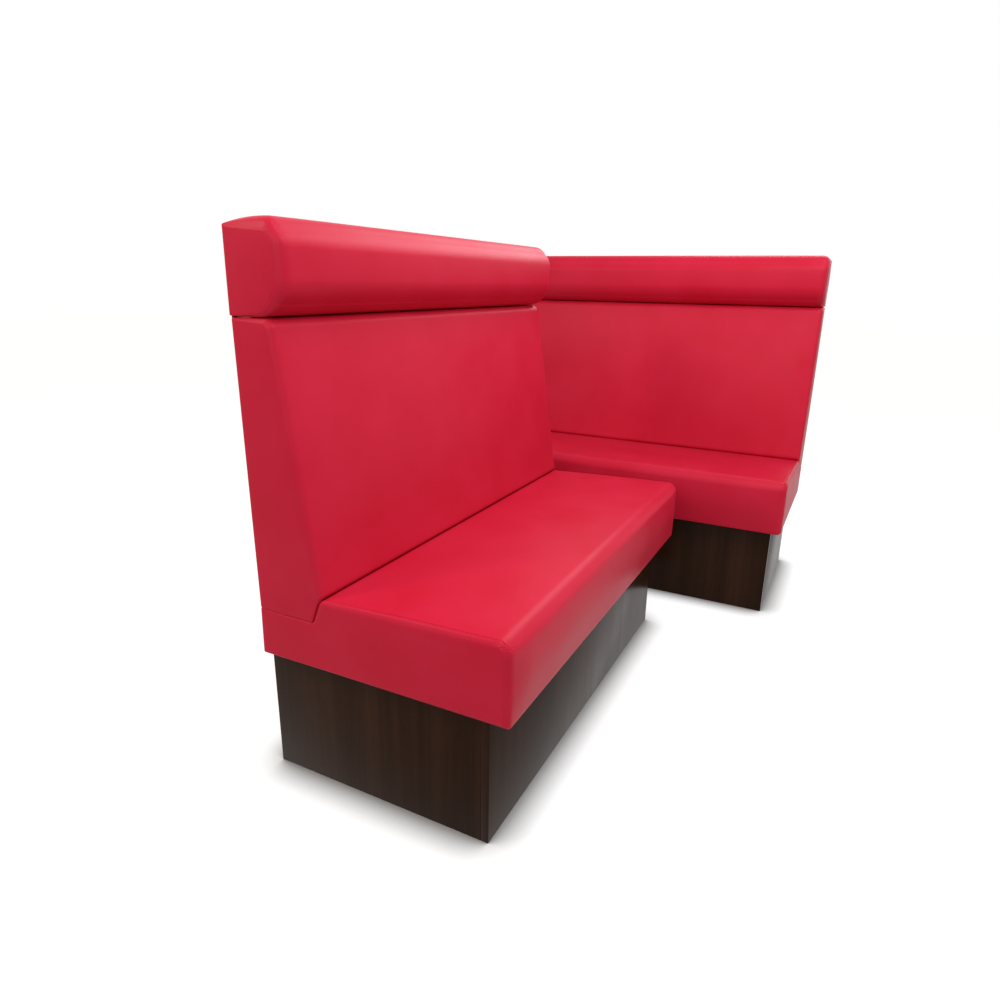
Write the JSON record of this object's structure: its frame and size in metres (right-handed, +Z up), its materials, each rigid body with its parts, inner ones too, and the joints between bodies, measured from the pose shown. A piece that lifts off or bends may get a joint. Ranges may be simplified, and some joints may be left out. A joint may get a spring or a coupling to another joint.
{
  "type": "restaurant booth seating",
  "caption": "L-shaped restaurant booth seating: high-back benches with stepped box seats, raked back pads and round headrolls in red faux leather on dark walnut plinths.",
  "frame": {"origin": "centre of the overall box on the floor", "axes": "+Z up. +Y runs along the left bench, from its open end towards the rear bench. +X is the way a sitter on the left bench faces. A sitter on the rear bench faces -Y."},
  "size_m": [1.2, 1.97, 1.1919],
  "materials": {
    "red_faux_leather": "satin",
    "walnut_laminate": "satin",
    "frame_timber": "matte",
    "black_backing_panel": "matte",
    "upholstery_foam": "matte",
    "zinc_plated_steel": "satin"
  },
  "bodies": {
    "root": {"back_bolts": "zinc_plated_steel", "left_back_bottom_rail": "frame_timber", "left_back_end_ribs": "frame_timber", "left_back_face_board": "frame_timber", "left_back_middle_rib": "frame_timber", "left_back_pad_cover": "red_faux_leather", "left_back_pad_edge_foam": "upholstery_foam", "left_back_pad_foam": "upholstery_foam", "left_back_tack_rail": "frame_timber", "left_back_top_rail": "frame_timber", "left_headroll_board": "frame_timber", "left_headroll_cover": "red_faux_leather", "left_headroll_edge_foam": "upholstery_foam", "left_headroll_foam": "upholstery_foam", "left_outside_back_panel": "black_backing_panel", "left_plinth_back": "walnut_laminate", "left_plinth_cleats": "frame_timber", "left_plinth_corner_blocks": "frame_timber", "left_plinth_divider": "frame_timber", "left_plinth_far_end": "walnut_laminate", "left_plinth_front": "walnut_laminate", "left_plinth_near_end": "walnut_laminate", "left_seat_back_rail": "frame_timber", "left_seat_cover": "red_faux_leather", "left_seat_cross_rails": "frame_timber", "left_seat_deck": "frame_timber", "left_seat_edge_foam": "upholstery_foam", "left_seat_foam": "upholstery_foam", "left_seat_front_rail": "frame_timber", "nut_plates": "zinc_plated_steel", "plinth_screws": "zinc_plated_steel", "rear_back_bottom_rail": "frame_timber", "rear_back_end_ribs": "frame_timber", "rear_back_face_board": "frame_timber", "rear_back_middle_rib": "frame_timber", "rear_back_pad_cover": "red_faux_leather", "rear_back_pad_edge_foam": "upholstery_foam", "rear_back_pad_foam": "upholstery_foam", "rear_back_tack_rail": "frame_timber", "rear_back_top_rail": "frame_timber", "rear_headroll_board": "frame_timber", "rear_headroll_cover": "red_faux_leather", "rear_headroll_edge_foam": "upholstery_foam", "rear_headroll_foam": "upholstery_foam", "rear_outside_back_panel": "black_backing_panel", "rear_plinth_back": "walnut_laminate", "rear_plinth_cleats": "frame_timber", "rear_plinth_corner_blocks": "frame_timber", "rear_plinth_divider": "frame_timber", "rear_plinth_far_end": "walnut_laminate", "rear_plinth_front": "walnut_laminate", "rear_plinth_near_end": "walnut_laminate", "rear_seat_back_rail": "frame_timber", "rear_seat_cover": "red_faux_leather", "rear_seat_cross_rails": "frame_timber", "rear_seat_deck": "frame_timber", "rear_seat_edge_foam": "upholstery_foam", "rear_seat_foam": "upholstery_foam", "rear_seat_front_rail": "frame_timber"}
  },
  "joints": []
}
